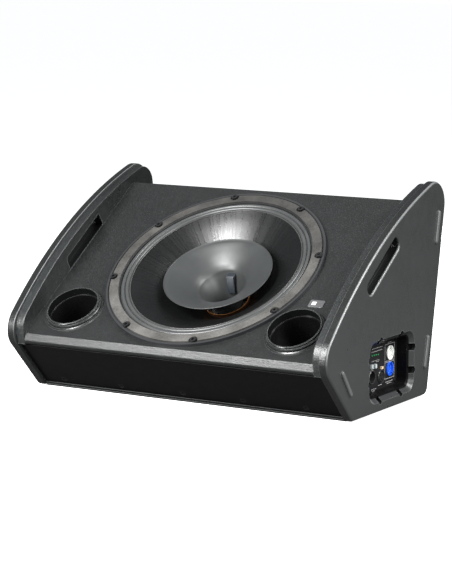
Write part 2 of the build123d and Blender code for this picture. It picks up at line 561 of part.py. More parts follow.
# amplifier cover: folded steel box, open towards the panel
AX0, AX1 = 188.0, X_IN - 0.1
AY0, AY1, AZ0, AZ1 = 60.5, 214.5, 21.0, 114.5
cover = box(AX0, AX1, AY0, AY1, AZ0, AZ1) - box(AX0 + 1.5, AX1 + 1, AY0 + 1.5, AY1 - 1.5, AZ0 + 1.5, AZ1 - 1.5)
for k in range(7):
    cover = cover - box(215.0, 262.0, AY1 - 3, AY1 + 2, 36.0 + 10.0 * k, 40.0 + 10.0 * k)
WIRE_A, WIRE_B = (150.0, 96.0), (170.0, 96.0)
for c in (WIRE_A, WIRE_B):
    cover = cover - cyl_x(5.2, AX0 - 1, AX0 + 3, *c)
add("amp_cover", cover)
add("amp_board", box(214.0, 215.6, AY0 + 5, AY1 - 5, AZ0 + 5, AZ1 - 5))
hs = box(196.0, 199.5, 72.0, 140.0, 30.0, 106.0)
for k in range(9):
    y0 = 72.0 + k * 8.2
    hs = hs + box(199.5, 213.5, y0, y0 + 2.2, 30.0, 106.0)
add("heatsink", hs)
add("transformer", Pos(216.0, 92.0, 68.0) * Rot(0, 90, 0) * ring(9.0, 26.0, 0.0, 30.0))
caps = []
for (cy, cz) in ((135.0, 96.0), (158.0, 96.0), (135.0, 74.0), (158.0, 74.0)):
    c = cyl_x(9.0, 215.8, 243.0, cy, cz)
    caps.append(fillet([k for k in c.edges() if k.bounding_box().min.X > 242.9], 1.2))
add("capacitors", Compound(caps))


def wire(pts, radii, r):
    path = FilletPolyline(*pts, radius=radii)
    pl = Plane(origin=path @ 0, z_dir=path % 0)
    sk = pl * Circle(r)
    s = sweep(sk, path=path)
    want = math.pi * r * r * path.length
    print("wire length %.1f volume ratio %.4f" % (path.length, s.volume / want))
    return s


def d3(x, y, z):
    """Driver coordinates to cabinet coordinates."""
    v = DRIVER.from_local_coords(Vector(x, y, z))
    return (v.X, v.Y, v.Z)


grommets = []
for c in (WIRE_A, WIRE_B):
    g = cyl_x(7.2, AX0 - 1.6, AX0 - 0.05, *c) + cyl_x(5.1, AX0 - 1.6, AX0 + 2.0, *c)
    g = g - cyl_x(3.1, AX0 - 3, AX0 + 3, *c)
    grommets.append(g)
add("cable_grommets", Compound(grommets))
ca, sa = math.cos(math.radians(-20)), math.sin(math.radians(-20))
wa = wire([(AX0 + 20.0, WIRE_A[0], WIRE_A[1]), (AX0 - 30.0, WIRE_A[0], WIRE_A[1]), d3(132.0 * ca, 132.0 * sa, -113.5),
           d3(102.52 * ca, 102.52 * sa, -113.5)], [12.0, 10.0], 2.6)
add("woofer_cable", wa)
hx, hy, hz = d3(50.2, 0, -163.0)
wb = wire([(AX0 + 20.0, WIRE_B[0], WIRE_B[1]), (AX0 - 40.0, WIRE_B[0], WIRE_B[1]), (hx + 34.0, hy, hz), (hx, hy, hz)], [14.0, 12.0], 2.2)
add("horn_cable", wb)

# ---------------------------------------------------------------------------
lo, hi = [1e9] * 3, [-1e9] * 3
os.makedirs("parts", exist_ok=True)
for name, shape in NODES.items():
    export_step(shape, "parts/" + name + ".step")
    bb = shape.bounding_box()
    for i, (a, b) in enumerate(((bb.min.X, bb.max.X), (bb.min.Y, bb.max.Y), (bb.min.Z, bb.max.Z))):
        lo[i], hi[i] = min(lo[i], a), max(hi[i], b)
print(len(NODES), "nodes, box", [round(v, 3) for v in lo], [round(v, 3) for v in hi])
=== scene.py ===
import math

import bmesh
import bpy
import numpy as np
from mathutils import Matrix, Vector


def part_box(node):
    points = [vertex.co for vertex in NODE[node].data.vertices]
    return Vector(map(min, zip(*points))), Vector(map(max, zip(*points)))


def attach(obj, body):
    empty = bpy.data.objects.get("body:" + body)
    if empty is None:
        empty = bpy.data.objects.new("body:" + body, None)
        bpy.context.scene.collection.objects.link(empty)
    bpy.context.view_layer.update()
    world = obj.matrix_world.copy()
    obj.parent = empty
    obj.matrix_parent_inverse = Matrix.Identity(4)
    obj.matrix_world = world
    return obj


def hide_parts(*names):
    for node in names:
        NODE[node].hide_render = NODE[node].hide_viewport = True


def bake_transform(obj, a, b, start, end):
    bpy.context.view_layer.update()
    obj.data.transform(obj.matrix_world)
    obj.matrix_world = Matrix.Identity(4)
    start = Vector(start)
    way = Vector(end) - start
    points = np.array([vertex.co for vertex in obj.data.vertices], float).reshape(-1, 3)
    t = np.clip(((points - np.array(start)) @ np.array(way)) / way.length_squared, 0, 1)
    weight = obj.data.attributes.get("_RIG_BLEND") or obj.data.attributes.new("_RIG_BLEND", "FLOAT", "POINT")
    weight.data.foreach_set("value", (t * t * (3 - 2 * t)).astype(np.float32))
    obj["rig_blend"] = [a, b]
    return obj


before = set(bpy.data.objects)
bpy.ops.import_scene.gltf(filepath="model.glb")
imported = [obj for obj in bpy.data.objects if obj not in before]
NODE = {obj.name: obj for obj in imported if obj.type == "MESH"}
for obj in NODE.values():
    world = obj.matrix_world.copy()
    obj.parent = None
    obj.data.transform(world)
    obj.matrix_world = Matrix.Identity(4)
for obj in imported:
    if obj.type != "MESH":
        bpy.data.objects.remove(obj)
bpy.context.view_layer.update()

# ---------------------------------------------------------------------------
# the shared frame: baffle plane and driver axis, in metres
# ---------------------------------------------------------------------------
DY, DZ = -0.1198265, 0.0025
ANG = math.radians(34.27)
CS, SN = math.cos(ANG), math.sin(ANG)
BAF = Vector((0.0, -0.0791 + DY, 0.1028 + DZ))
ES, EN, EX = Vector((0, CS, SN)), Vector((0, -SN, CS)), Vector((1, 0, 0))
DRV_S = 0.19815
DRV = BAF + ES * DRV_S


def baf(x, s, h):
    """Baffle coordinates in mm to a point in the frame."""
    return BAF + EX * (x / 1000) + ES * (s / 1000) + EN * (h / 1000)


def cab(x, y, z):
    """Cabinet coordinates in mm to a point in the frame."""
    return Vector((x / 1000, y / 1000 + DY, z / 1000 + DZ))


DRV_M = Matrix(((1, 0, 0, DRV.x), (0, CS, -SN, DRV.y), (0, SN, CS, DRV.z), (0, 0, 0, 1)))
BAF_M = Matrix(((1, 0, 0, BAF.x), (0, CS, -SN, BAF.y), (0, SN, CS, BAF.z), (0, 0, 0, 1)))


# ---------------------------------------------------------------------------
# material helpers
# ---------------------------------------------------------------------------
class Mat:
    """A small builder for procedural materials on object coordinates."""

    def __init__(self, name):
        self.m = bpy.data.materials.new(name)
        self.m.use_nodes = True
        self.t = self.m.node_tree
        self.t.nodes.clear()
        self.out = self.n("ShaderNodeOutputMaterial")
        self.b = self.n("ShaderNodeBsdfPrincipled")
        self.t.links.new(self.b.outputs[0], self.out.inputs[0])
        self.co = self.n("ShaderNodeTexCoord").outputs["Object"]

    def n(self, kind, **kw):
        q = self.t.nodes.new(kind)
        for k, v in kw.items():
            setattr(q, k, v)
        return q

    def link(self, a, b):
        self.t.links.new(a, b)

    def setv(self, key, val):
        self.b.inputs[key].default_value = val

    def noise(self, scale, detail=3.0, rough=0.5, co=None, dist=0.0):
        q = self.n("ShaderNodeTexNoise")
        q.inputs["Scale"].default_value = scale
        q.inputs["Detail"].default_value = detail
        q.inputs["Roughness"].default_value = rough
        q.inputs["Distortion"].default_value = dist
        self.link(co or self.co, q.inputs["Vector"])
        return q.outputs["Fac"]

    def voro(self, scale, feature="F1", co=None, out="Distance", smooth=None):
        q = self.n("ShaderNodeTexVoronoi", feature=feature)
        q.inputs["Scale"].default_value = scale
        self.link(co or self.co, q.inputs["Vector"])
        return q.outputs[out]

    def ramp(self, fac, stops):
        q = self.n("ShaderNodeValToRGB")
        e = q.color_ramp.elements
        while len(e) < len(stops):
            e.new(0.5)
        for el, (p, c) in zip(e, stops):
            el.position = p
            el.color = c if len(c) == 4 else (*c, 1)
        self.link(fac, q.inputs[0])
        return q.outputs[0]

    def remap(self, fac, a, b, lo, hi):
        q = self.n("ShaderNodeMapRange")
        q.inputs[1].default_value, q.inputs[2].default_value = a, b
        q.inputs[3].default_value, q.inputs[4].default_value = lo, hi
        self.link(fac, q.inputs[0])
        return q.outputs[0]

    def math(self, op, a, b=None, c=None):
        q = self.n("ShaderNodeMath", operation=op)
        for i, v in enumerate((a, b, c)):
            if v is None:
                continue
            if isinstance(v, (int, float)):
                q.inputs[i].default_value = v
            else:
                self.link(v, q.inputs[i])
        return q.outputs[0]

    def bump(self, height, strength=1.0, distance=0.0003, normal=None):
        q = self.n("ShaderNodeBump")
        q.inputs["Strength"].default_value = strength
        q.inputs["Distance"].default_value = distance
        self.link(height, q.inputs["Height"])
        if normal is not None:
            self.link(normal, q.inputs["Normal"])
        return q.outputs[0]

    def frame_co(self, matrix):
        """Object coordinates turned into a local frame (the matrix's inverse)."""
        inv = matrix.inverted()
        q = self.n("ShaderNodeMapping", vector_type="POINT")
        e = inv.to_euler()
        q.inputs["Rotation"].default_value = e
        q.inputs["Location"].default_value = inv.to_translation()
        self.link(self.co, q.inputs["Vector"])
        return q.outputs[0]


def paint(name, col, rough, grain, grain_mm, bump_mm, mottled=0.12, spec=0.5, fleck=0.0, flat_faces=0.0, edge=0.0, slot=0):
    """Sprayed paint: grain, slow changes of tone and gloss. flat_faces keeps the sides smoother than the rims, paints
    a highlight on rounded edges that face up and darkens the rims as painted shade; edge paints a highlight on sharp
    edges; slot paints shade into the handle slots and the connector bay.
    """
    k = Mat(name)
    slow = k.noise(9.0, 4.0, 0.55)
    mid = k.noise(70.0, 3.0, 0.5)
    fine = k.noise(1000.0 / grain_mm, 2.0, 0.6)
    pebble = k.voro(800.0 / grain_mm, feature="SMOOTH_F1")
    if flat_faces:
        sep = k.n("ShaderNodeSeparateXYZ")
        geo = k.n("ShaderNodeNewGeometry")
        k.link(geo.outputs["Normal"], sep.inputs[0])
        side = k.math("ABSOLUTE", sep.outputs[0])
        mask = k.remap(side, 0.15, 0.45, 1.0, 1.0 - flat_faces)
        rounding = k.math("MULTIPLY", k.remap(side, 0.20, 0.50, 0.0, 1.0), k.remap(side, 0.80, 0.97, 1.0, 0.0))
    else:
        mask = None
    tone = k.math("ADD", k.math("MULTIPLY", slow, 0.6), k.math("MULTIPLY", mid, 0.4))
    if fleck:
        f = k.math("MULTIPLY", k.math("SUBTRACT", fine, 0.5), fleck)
        tone = k.math("ADD", tone, k.math("MULTIPLY", f, mask) if mask else f)
    lo = tuple(c * (1 - mottled) for c in col)
    hi = tuple(c * (1 + mottled) for c in col)
    base = k.ramp(tone, [(0.3, lo), (0.7, hi)])
    if fleck:
        spot = k.remap(fine, 0.54, 0.70, 0.0, 0.55 * fleck)
        if mask:
            spot = k.math("MULTIPLY", spot, mask)
        sp = k.n("ShaderNodeMix", data_type="RGBA")
        k.link(spot, sp.inputs["Factor"])
        k.link(base, sp.inputs["A"])
        sp.inputs["B"].default_value = (col[0] * 4.5, col[1] * 4.5, col[2] * 4.5, 1)
        base = sp.outputs["Result"]
    # Painted highlight: on sharp edges found with the Bevel node the base colour is lightened towards pale grey.
    if edge:
        bev = k.n("ShaderNodeBevel", samples=4)
        bev.inputs["Radius"].default_value = 0.0022
        geo2 = k.n("ShaderNodeNewGeometry")
        dot = k.n("ShaderNodeVectorMath", operation="DOT_PRODUCT")
        k.link(bev.outputs[0], dot.inputs[0])
        k.link(geo2.outputs["Normal"], dot.inputs[1])
        edge_highlight = k.remap(dot.outputs["Value"], 0.97, 0.80, 0.0, edge)
        mx = k.n("ShaderNodeMix", data_type="RGBA")
        k.link(edge_highlight, mx.inputs["Factor"])
        k.link(base, mx.inputs["A"])
        mx.inputs["B"].default_value = (0.30, 0.31, 0.31, 1)
        base = mx.outputs["Result"]
    # Masks for the connector bay region and its deep walls, which get painted shade below; the bay mask also keeps the
    # painted rim highlight out of the bay.
    if slot:
        place = k.n("ShaderNodeSeparateXYZ")
        k.link(k.co, place.inputs[0])
        bay = k.math("MULTIPLY", k.remap(place.outputs[1], 0.070 + DY, 0.076 + DY, 0.0, 1.0), k.remap(place.outputs[1], 0.228 + DY, 0.234 + DY, 1.0, 0.0))
        bay = k.math("MULTIPLY", bay, k.remap(place.outputs[2], 0.118 + DZ, 0.124 + DZ, 1.0, 0.0))
        bay = k.math("MULTIPLY", bay, k.remap(place.outputs[2], 0.0045 + DZ, 0.0065 + DZ, 0.0, 1.0))
        bay_shade = k.math("MULTIPLY", k.math("MULTIPLY", bay, k.remap(place.outputs[0], 0.3015, 0.3025, 1.0, 0.0)), k.remap(place.outputs[0], 0.270, 0.271, 0.0, 1.0))
        if slot > 1:
            side2 = k.n("ShaderNodeSeparateXYZ")
            geo3 = k.n("ShaderNodeNewGeometry")
            k.link(geo3.outputs["Normal"], side2.inputs[0])
            bay_shade = k.math("MULTIPLY", bay_shade, k.remap(k.math("ABSOLUTE", side2.outputs[0]), 0.7, 0.9, 1.0, 0.0))
    # Painted highlight and painted shade: rounded edges that face up are lifted towards pale grey, and the rims
    # (normals with small x) are darkened to about a quarter.
    if flat_faces:
        rd = k.n("ShaderNodeMix", data_type="RGBA")
        up = k.remap(sep.outputs[2], -0.10, 0.35, 0.12, 1.0)
        rim_highlight = k.math("MULTIPLY", k.math("MULTIPLY", rounding, up), k.math("SUBTRACT", 1.0, bay))
        k.link(k.math("MULTIPLY", rim_highlight, 0.42), rd.inputs["Factor"])
        rim_shade = k.n("ShaderNodeMix", data_type="RGBA", blend_type="MULTIPLY")
        rim_shade.inputs["Factor"].default_value = 1.0
        k.link(base, rim_shade.inputs["A"])
        k.link(k.ramp(side, [(0.35, (0.24, 0.24, 0.24)), (0.75, (1, 1, 1))]), rim_shade.inputs["B"])
        k.link(rim_shade.outputs["Result"], rd.inputs["A"])
        rd.inputs["B"].default_value = (0.30, 0.31, 0.31, 1)
        base = rd.outputs["Result"]
    # Painted shade: the handle slot interiors are darkened to near black, more so towards the upper end, and the deep
    # walls of the connector bay likewise; specular is cut in the same places.
    if slot:
        local = k.n("ShaderNodeSeparateXYZ")
        k.link(k.frame_co(BAF_M), local.inputs[0])
        ax = k.math("ABSOLUTE", local.outputs[0])
        slot_shade = None
        for (val, a, b) in ((ax, 0.3035, 0.3050), (local.outputs[1], 0.2935, 0.2950), (local.outputs[2], 0.0262, 0.0270)):
            g = k.remap(val, a, b, 1.0, 0.0)
            slot_shade = g if slot_shade is None else k.math("MULTIPLY", slot_shade, g)
        for (val, a, b) in ((local.outputs[1], 0.1590, 0.1605), (local.outputs[2], -0.0030, -0.0015)):
            slot_shade = k.math("MULTIPLY", slot_shade, k.remap(val, a, b, 0.0, 1.0))
        if slot > 1:
            slot_shade = k.math("MULTIPLY", slot_shade, k.remap(ax, 0.2795, 0.2820, 0.0, 1.0))
        slot_shade = k.math("MULTIPLY", slot_shade, k.remap(local.outputs[1], 0.165, 0.285, 0.55, 1.0))
        dk = k.n("ShaderNodeMix", data_type="RGBA")
        k.link(slot_shade, dk.inputs["Factor"])
        k.link(base, dk.inputs["A"])
        dk.inputs["B"].default_value = (0.004, 0.004, 0.004, 1)
        base = dk.outputs["Result"]
        bd = k.n("ShaderNodeMix", data_type="RGBA")
        k.link(bay_shade, bd.inputs["Factor"])
        k.link(base, bd.inputs["A"])
        bd.inputs["B"].default_value = (0.005, 0.005, 0.005, 1)
        base = bd.outputs["Result"]
        dull = k.math("MULTIPLY", k.math("SUBTRACT", 1.0, k.math("MULTIPLY", slot_shade, 0.75)), k.math("SUBTRACT", 1.0, k.math("MULTIPLY", bay_shade, 0.92)))
        k.link(k.math("MULTIPLY", dull, spec), k.b.inputs["Specular IOR Level"])
    k.link(base, k.b.inputs["Base Color"])
    k.link(k.remap(k.math("ADD", k.math("MULTIPLY", slow, 0.5), k.math("MULTIPLY", mid, 0.5)), 0.3, 0.7, rough - 0.05, rough + 0.06),
           k.b.inputs["Roughness"])
    if not slot:
        k.setv("Specular IOR Level", spec)
    h = k.math("ADD", k.math("MULTIPLY", fine, 0.55), k.math("MULTIPLY", pebble, 0.45))
    q = k.n("ShaderNodeBump")
    q.inputs["Distance"].default_value = bump_mm / 1000
    k.link(h, q.inputs["Height"])
    if mask:
        k.link(k.math("MULTIPLY", mask, grain), q.inputs["Strength"])
    else:
        q.inputs["Strength"].default_value = grain
    k.link(q.outputs[0], k.b.inputs["Normal"])
    return k.m


def plain(name, col, rough, metal=0.0, scale=400.0, amount=0.15, bump_mm=0.03, spec=0.5, coat=0.0, vary=0.12):
    """Moulded or machined stuff: slight unevenness in tone, gloss and surface."""
    k = Mat(name)
    a = k.noise(scale, 3.0, 0.55)
    s = k.noise(25.0, 3.0, 0.5)
    lo = tuple(c * (1 - vary) for c in col)
    hi = tuple(min(1.0, c * (1 + vary)) for c in col)
    k.link(k.ramp(k.math("ADD", k.math("MULTIPLY", a, 0.4), k.math("MULTIPLY", s, 0.6)), [(0.3, lo), (0.7, hi)]), k.b.inputs["Base Color"])
    k.link(k.remap(s, 0.3, 0.7, max(0.02, rough - 0.05), rough + 0.06), k.b.inputs["Roughness"])
    k.setv("Metallic", metal)
    k.setv("Specular IOR Level", spec)
    k.setv("Coat Weight", coat)
    k.link(k.bump(a, amount, bump_mm / 1000), k.b.inputs["Normal"])
    return k.m


def height_light_grade(mat, low, high):
    """Painted light and shade: the base colour is scaled with height, by low at the front edge and by high at the top
    of the baffle.
    """
    t = mat.node_tree
    b = next(q for q in t.nodes if q.type == "BSDF_PRINCIPLED")
    co = next(q for q in t.nodes if q.type == "TEX_COORD")
    src = b.inputs["Base Color"].links[0].from_socket
    sep = t.nodes.new("ShaderNodeSeparateXYZ")
    t.links.new(co.outputs["Object"], sep.inputs[0])
    mr = t.nodes.new("ShaderNodeMapRange")
    for i, v in enumerate((0.09, 0.33, low, high)):
        mr.inputs[i + 1].default_value = v
    t.links.new(sep.outputs[2], mr.inputs[0])
    vm = t.nodes.new("ShaderNodeVectorMath")
    vm.operation = "SCALE"
    t.links.new(src, vm.inputs[0])
    t.links.new(mr.outputs[0], vm.inputs["Scale"])
    t.links.new(vm.outputs[0], b.inputs["Base Color"])
    return mat


def cone_paper(name, col, rough):
    """Pressed fibre: streaks that run out from the middle, and small shiny fibres."""
    k = Mat(name)
    local = k.frame_co(DRV_M)
    flat = k.n("ShaderNodeVectorMath", operation="MULTIPLY")
    k.link(local, flat.inputs[0])
    flat.inputs[1].default_value = (1, 1, 0)
    unit = k.n("ShaderNodeVectorMath", operation="NORMALIZE")
    k.link(flat.outputs[0], unit.inputs[0])
    streak = k.noise(38.0, 4.0, 0.65, co=unit.outputs[0])
    fibre = k.noise(520.0, 3.0, 0.65)
    spark = k.voro(620.0)
    slow = k.noise(14.0, 3.0, 0.5)
    tone = k.math("ADD", k.math("MULTIPLY", fibre, 0.6), k.math("MULTIPLY", slow, 0.4))
    k.link(k.ramp(tone, [(0.3, tuple(c * 0.75 for c in col)), (0.7, tuple(c * 1.3 for c in col))]), k.b.inputs["Base Color"])
    k.link(k.remap(k.math("ADD", k.math("MULTIPLY", streak, 0.6), k.math("MULTIPLY", fibre, 0.4)), 0.35, 0.65, rough - 0.05, rough + 0.10), k.b.inputs["Roughness"])
    h = k.math("ADD", k.math("MULTIPLY", fibre, 0.5), k.math("MULTIPLY", spark, 0.5))
    first = k.bump(h, 0.8, 0.00022)
    k.link(k.bump(streak, 0.35, 0.0005, normal=first), k.b.inputs["Normal"])
    return k.m


M = {}
M["cheek"] = paint("cheek_paint", (0.038, 0.040, 0.040), 0.29, 1.0, 1.7, 0.52, mottled=0.10, fleck=0.8, flat_faces=0.985, edge=0.55, slot=1)
M["inner"] = paint("inner_layer_paint", (0.017, 0.0185, 0.0185), 0.31, 1.0, 2.0, 0.50, mottled=0.2, fleck=0.9, edge=0.65, slot=2)
M["baffle"] = paint("baffle_paint", (0.0100, 0.0108, 0.0108), 0.32, 1.0, 1.7, 0.50, mottled=0.25, fleck=0.9, edge=0.30)
M["panel"] = paint("panel_paint", (0.0045, 0.0045, 0.0047), 0.42, 0.4, 1.6, 0.15, mottled=0.15, spec=0.17, edge=0.35)
M["rail"] = paint("rail_paint", (0.008, 0.0084, 0.0084), 0.34, 0.5, 2.0, 0.25, mottled=0.2, spec=0.35, edge=1.0)
M["dark_in"] = paint("inside_paint", (0.012, 0.012, 0.012), 0.7, 0.5, 2.0, 0.2)
M["rubber"] = plain("pad_rubber", (0.105, 0.108, 0.108), 0.34, amount=0.3)
M["casting"] = plain("frame_casting", (0.022, 0.023, 0.024), 0.34, scale=700, amount=0.4)
M["gasket"] = plain("gasket_fibre", (0.058, 0.056, 0.052), 0.58, scale=300.0, amount=0.9, bump_mm=0.45, vary=0.60)
M["steel_dark"] = plain("bolt_steel", (0.07, 0.07, 0.072), 0.28, metal=0.9, amount=0.2)
M["screw_black"] = plain("screw_black", (0.006, 0.006, 0.0065), 0.45, amount=0.2, spec=0.25)
M["surround"] = plain("surround_cloth", (0.045, 0.047, 0.047), 0.33, scale=900, amount=0.5, bump_mm=0.1)
M["glue"] = plain("glue_bead", (0.045, 0.045, 0.044), 0.20, scale=350, amount=0.6, bump_mm=0.3)
M["cone"] = cone_paper("cone_paper", (0.003, 0.0032, 0.0032), 0.285)
M["cone"].node_tree.nodes["Principled BSDF"].inputs["Specular IOR Level"].default_value = 0.62
M["film"] = plain("former_film", (0.030, 0.013, 0.005), 0.30)
M["amber"] = plain("former_edge", (0.30, 0.13, 0.04), 0.25)
M["copper"] = plain("coil_wire", (0.78, 0.36, 0.16), 0.3, metal=1.0)
M["spider"] = plain("spider_cloth", (0.30, 0.20, 0.10), 0.8)
M["zinc"] = plain("zinc_plate", (0.42, 0.42, 0.43), 0.35, metal=1.0)
M["ferrite"] = plain("ferrite", (0.05, 0.05, 0.055), 0.7)
M["horn"] = plain("horn_satin", (0.030, 0.032, 0.032), 0.40, scale=260, amount=0.10, bump_mm=0.05, vary=0.05)
M["horn_back"] = plain("horn_back", (0.02, 0.02, 0.021), 0.5)
M["vane"] = plain("throat_vane", (0.014, 0.018, 0.023), 0.40)
M["port"] = plain("port_moulding", (0.005, 0.005, 0.0053), 0.26)
M["collar"] = paint("collar_paint", (0.0055, 0.0058, 0.0058), 0.22, 0.2, 2.0, 0.10, spec=0.42, edge=0.30)
M["badge"] = plain("badge_plate", (0.085, 0.085, 0.087), 0.34, metal=0.1)
M["plate"] = plain("panel_steel", (0.010, 0.010, 0.011), 0.42, amount=0.3)
M["print"] = plain("panel_print", (0.50, 0.50, 0.49), 0.5)
M["grey"] = plain("outlet_grey", (0.88, 0.90, 0.86), 0.35, vary=0.04)
M["blue"] = plain("inlet_blue", (0.015, 0.12, 0.85), 0.3, vary=0.06)
M["bezel"] = plain("bezel_satin", (0.07, 0.07, 0.072), 0.35, metal=0.5)
M["pale_blue"] = plain("inlet_pale", (0.18, 0.42, 0.92), 0.3)
M["xlr"] = plain("xlr_shell", (0.04, 0.04, 0.042), 0.3, metal=0.6)
M["cream"] = plain("latch_cream", (0.72, 0.58, 0.42), 0.35, vary=0.05)
M["white"] = plain("button_white", (0.50, 0.55, 0.55), 0.3, vary=0.05)
M["green"] = plain("led_green", (0.02, 0.36, 0.10), 0.2)
M["board"] = plain("board_green", (0.015, 0.12, 0.05), 0.4)
M["sheet"] = plain("sheet_steel", (0.40, 0.41, 0.42), 0.4, metal=0.8)
M["alu"] = plain("heatsink", (0.06, 0.06, 0.065), 0.4, metal=0.6)
M["tape"] = plain("tape_yellow", (0.5, 0.38, 0.08), 0.5)
M["sleeve"] = plain("cap_sleeve", (0.030, 0.031, 0.034), 0.4)
M["jacket"] = plain("cable_jacket", (0.02, 0.02, 0.02), 0.5)
M["foam"] = plain("foam", (0.05, 0.05, 0.052), 0.95, scale=900, amount=1.0, bump_mm=0.6)

# Painted light and shade by height: the gasket and the inner layers are lighter low down and darker at the top, the
# cheeks slightly so; the lower front panel lies below the range and is only darkened evenly by half.
height_light_grade(M["gasket"], 1.25, 0.50)
height_light_grade(M["inner"], 1.10, 0.60)
height_light_grade(M["cheek"], 1.06, 0.94)
height_light_grade(M["panel"], 0.5, 1.0)

USE = {
    "cheek_outer_left": "cheek", "cheek_outer_right": "cheek", "cheek_inner_left": "inner", "cheek_inner_right": "inner",
    "baffle_board": "baffle", "top_rear_board": "baffle", "rear_board": "baffle", "bottom_board": "rail", "lower_front_panel": "panel",
    "front_cleat": "dark_in", "acoustic_foam": "foam", "rubber_feet": "rubber", "side_pads_left": "rubber", "side_pads_right": "rubber",
    "badge_plate": "badge", "port_collar_left": "collar", "port_collar_right": "collar", "port_tube_left": "port", "port_tube_right": "port",
    "driver_frame": "casting", "front_gasket": "gasket", "driver_bolts": "steel_dark", "lower_panel_screws": "screw_black",
    "panel_screws": "steel_dark", "surround": "surround", "cone": "cone", "voice_coil_former": "film", "voice_coil": "copper",
    "spider": "spider", "top_plate": "zinc", "magnet_ring": "ferrite", "pole_piece": "zinc", "horn": "horn", "hf_driver_body": "casting",
    "hf_diaphragm": "zinc", "hf_rear_cap": "casting", "driver_terminal": "port", "connector_panel": "plate", "power_outlet": "grey",
    "power_inlet": "blue", "xlr_input": "xlr", "xlr_link": "xlr", "xlr_latch": "cream", "push_button_a": "white", "push_button_b": "white",
    "status_leds": "green", "control_board": "board", "amp_cover": "sheet", "amp_board": "board", "heatsink": "alu", "transformer": "tape",
    "capacitors": "sleeve", "cable_grommets": "rubber", "woofer_cable": "jacket", "horn_cable": "jacket",
}
for name, key in USE.items():
    me = NODE[name].data
    me.materials.clear()
    me.materials.append(M[key])

# ---------------------------------------------------------------------------
# visual pieces
# ---------------------------------------------------------------------------


def piece(name, verts, faces, mat, body, matrix=None, smooth=True, sharp=None):
    """A closed mesh in millimetres, placed with the matrix, riding on a body."""
    me = bpy.data.meshes.new(name)
    pts = [Vector(v) / 1000 for v in verts]
    if matrix is not None:
        pts = [matrix @ p for p in pts]
    me.from_pydata(pts, [], faces)
    bm = bmesh.new()
    bm.from_mesh(me)
    bmesh.ops.remove_doubles(bm, verts=bm.verts, dist=1e-7)
    bmesh.ops.recalc_face_normals(bm, faces=bm.faces)
    for f in bm.faces:
        f.smooth = smooth
    if sharp:
        for e in bm.edges:
            if len(e.link_faces) == 2 and e.calc_face_angle(0) > math.radians(sharp):
                e.smooth = False
    bm.to_mesh(me)
    bm.free()
    me.materials.append(mat)
    o = bpy.data.objects.new(name, me)
    bpy.context.scene.collection.objects.link(o)
    if body:
        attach(o, body)
    return o


def sweep_rings(secs, n=192):
    """Closed body from a closed loop of sections (a, b, h): ellipses about the local Z axis."""
    verts, faces = [], []
    for (a, b, h) in secs:
        for k in range(n):
            t = 2 * math.pi * k / n
            verts.append((a * math.cos(t), b * math.sin(t), h))
    m = len(secs)
    for i in range(m):
        j = (i + 1) % m
        for k in range(n):
            l = (k + 1) % n
            faces.append((i * n + k, i * n + l, j * n + l, j * n + k))
    return verts, faces


def smooth_line(pts, step=1.5):
    """Catmull-Rom through the points, in small steps."""
    out = []
    p = [pts[0]] + list(pts) + [pts[-1]]
    for i in range(1, len(p) - 2):
        a, b, c, d = p[i - 1], p[i], p[i + 1], p[i + 2]
        k = max(1, int(math.dist(b, c) / step))
        for q in range(k):
            t = q / k
            out.append(tuple(0.5 * (2 * b[e] + (c[e] - a[e]) * t + (2 * a[e] - 5 * b[e] + 4 * c[e] - d[e]) * t * t
                                    + (3 * b[e] - a[e] - 3 * c[e] + d[e]) * t ** 3) for e in range(len(b))))
    out.append(tuple(pts[-1]))
    return out


def turned(name, profile, mat, body, n=240, matrix=DRV_M, sharp=38):
    """Body turned from a closed profile of (radius, h)."""
    v, f = sweep_rings([(r, r, h) for r, h in profile], n)
    return piece(name, v, f, mat, body, matrix, sharp=sharp)


ROOT = "cabinet"
MOVE = "cone_assembly"

# horn: an elliptical bell with a rolled lip, a crease at the throat and a straight funnel below it
bell = smooth_line([(97.2, 88.6, -9.9), (95.2, 87.0, -10.7), (90.0, 82.6, -12.2), (80.0, 74.2, -16.2), (66.0, 62.2, -22.6),
                    (52.5, 50.8, -30.0), (44.5, 44.0, -36.0), (41.4, 41.2, -39.2)], 1.5)
funnel = [(41.0, 40.8, -40.2), (36.0, 36.0, -48.0), (27.0, 27.0, -64.0), (22.0, 22.0, -78.0), (18.4, 18.4, -92.0), (18.4, 18.4, -150.0), (20.6, 20.6, -150.0),
          (21.0, 21.0, -92.0), (29.5, 29.5, -64.0), (38.4, 38.4, -49.0), (43.2, 43.2, -41.0)]
back = smooth_line([(43.6, 43.2, -40.6), (53.5, 52.2, -33.2), (67.0, 63.6, -25.4), (81.0, 75.3, -18.8), (91.6, 84.2, -14.2), (97.0, 88.7, -11.8)], 3.0)
lip = [(98.0 + 0.55 * math.cos(t), 89.4 + 0.55 * math.cos(t), -10.1 + 0.75 * math.sin(t)) for t in np.linspace(-1.2, 2.7, 7)]
v, f = sweep_rings(bell + funnel + back + lip, 240)
horn = piece("horn_bell", v, f, M["horn"], ROOT, DRV_M, sharp=34)
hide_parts("horn")


